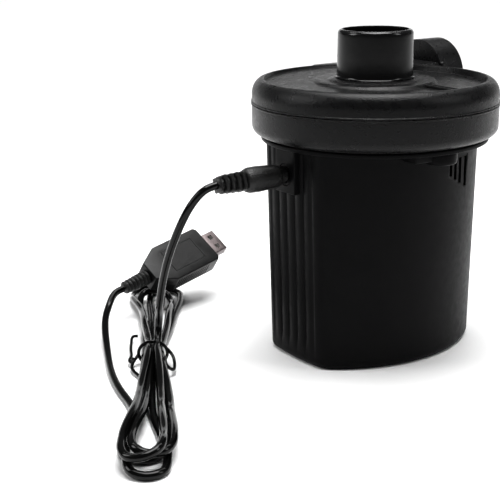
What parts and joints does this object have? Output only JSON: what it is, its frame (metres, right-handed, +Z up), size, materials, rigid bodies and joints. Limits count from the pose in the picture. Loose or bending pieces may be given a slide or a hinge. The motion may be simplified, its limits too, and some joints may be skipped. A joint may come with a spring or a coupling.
{
  "type": "air mattress pump",
  "caption": "Low-voltage electric pump that inflates and deflates air mattresses, with intake and outlet nozzles and a folded lead ending in a voltage-raising plug.",
  "frame": {"origin": "on the surface that the pump stands on, under the axis of the blower and the intake nozzle", "axes": "+Z up along the blower's axis, towards the intake nozzle's rim; +X the way the outlet nozzle points; the lead's jack is in the wall at -X"},
  "size_m": [0.2199, 0.177, 0.1344],
  "materials": {
    "body_plastic": "satin black",
    "blower_plastic": "fine spark-eroded grain, semi-gloss",
    "nozzle_plastic": "smooth gloss",
    "grip_rubber": "grained matte",
    "sheath": "smooth glossy PVC",
    "seal": "matte",
    "steel": "plated",
    "can_steel": "zinc plated",
    "nickel": "satin nickel plate",
    "brass": "plain",
    "copper": "enamelled copper",
    "ferrite": "sintered",
    "white_plastic": "natural nylon",
    "red_insulation": "gloss",
    "black_insulation": "gloss",
    "capacitor_coat": "dipped"
  },
  "bodies": {
    "housing": {"body_shell": "body_plastic", "volute_pan": "blower_plastic", "top_cover": "blower_plastic", "housing_seal": "seal", "intake_nozzle": "nozzle_plastic", "intake_guard": "body_plastic", "outlet_nozzle": "blower_plastic", "housing_screw_front": "steel", "housing_screw_rear": "steel", "motor_can": "can_steel", "motor_end_cap": "white_plastic", "bearing_upper": "brass", "bearing_lower": "brass", "magnet_left": "ferrite", "magnet_right": "ferrite", "brush_left": "ferrite", "brush_right": "ferrite", "motor_screw_front": "steel", "motor_screw_rear": "steel", "motor_terminal_left": "brass", "motor_terminal_right": "brass", "suppression_capacitor": "capacitor_coat", "rocker_frame": "nozzle_plastic", "rocker_terminal_lower": "brass", "rocker_terminal_middle": "brass", "rocker_terminal_upper": "brass", "dc_jack": "body_plastic", "dc_jack_pin": "brass", "wire_positive": "red_insulation", "wire_switched": "red_insulation", "wire_negative": "black_insulation"},
    "rotor": {"impeller": "white_plastic", "impeller_nut": "brass", "motor_shaft": "steel", "armature_core": "steel", "armature_windings": "copper", "commutator": "copper"},
    "rocker": {"rocker_button": "nozzle_plastic"},
    "lead": {"dc_plug_body": "grip_rubber", "dc_plug_barrel": "nickel", "dc_strain_relief": "grip_rubber", "lead_tube": "sheath", "lead_hank": "sheath", "hank_tie": "sheath", "usb_lead_tube": "sheath", "usb_strain_relief": "grip_rubber", "usb_housing": "body_plastic", "usb_shell": "nickel", "usb_tongue": "white_plastic"}
  },
  "joints": [
    {"name": "rotor_spin", "type": "hinge", "parent": "housing", "child": "rotor", "pos_m": [0, 0, 0.07], "axis": [0, 0, 1], "continuous": true},
    {"name": "rocker_tilt", "type": "hinge", "parent": "housing", "child": "rocker", "pos_m": [0.0455, 0, 0.068], "axis": [0, 1, 0], "range_deg": [0, 20]},
    {"name": "plug_pull", "type": "slide", "parent": "housing", "child": "lead", "axis": [-1, 0, 0], "range_m": [0, 0.0115]}
  ]
}
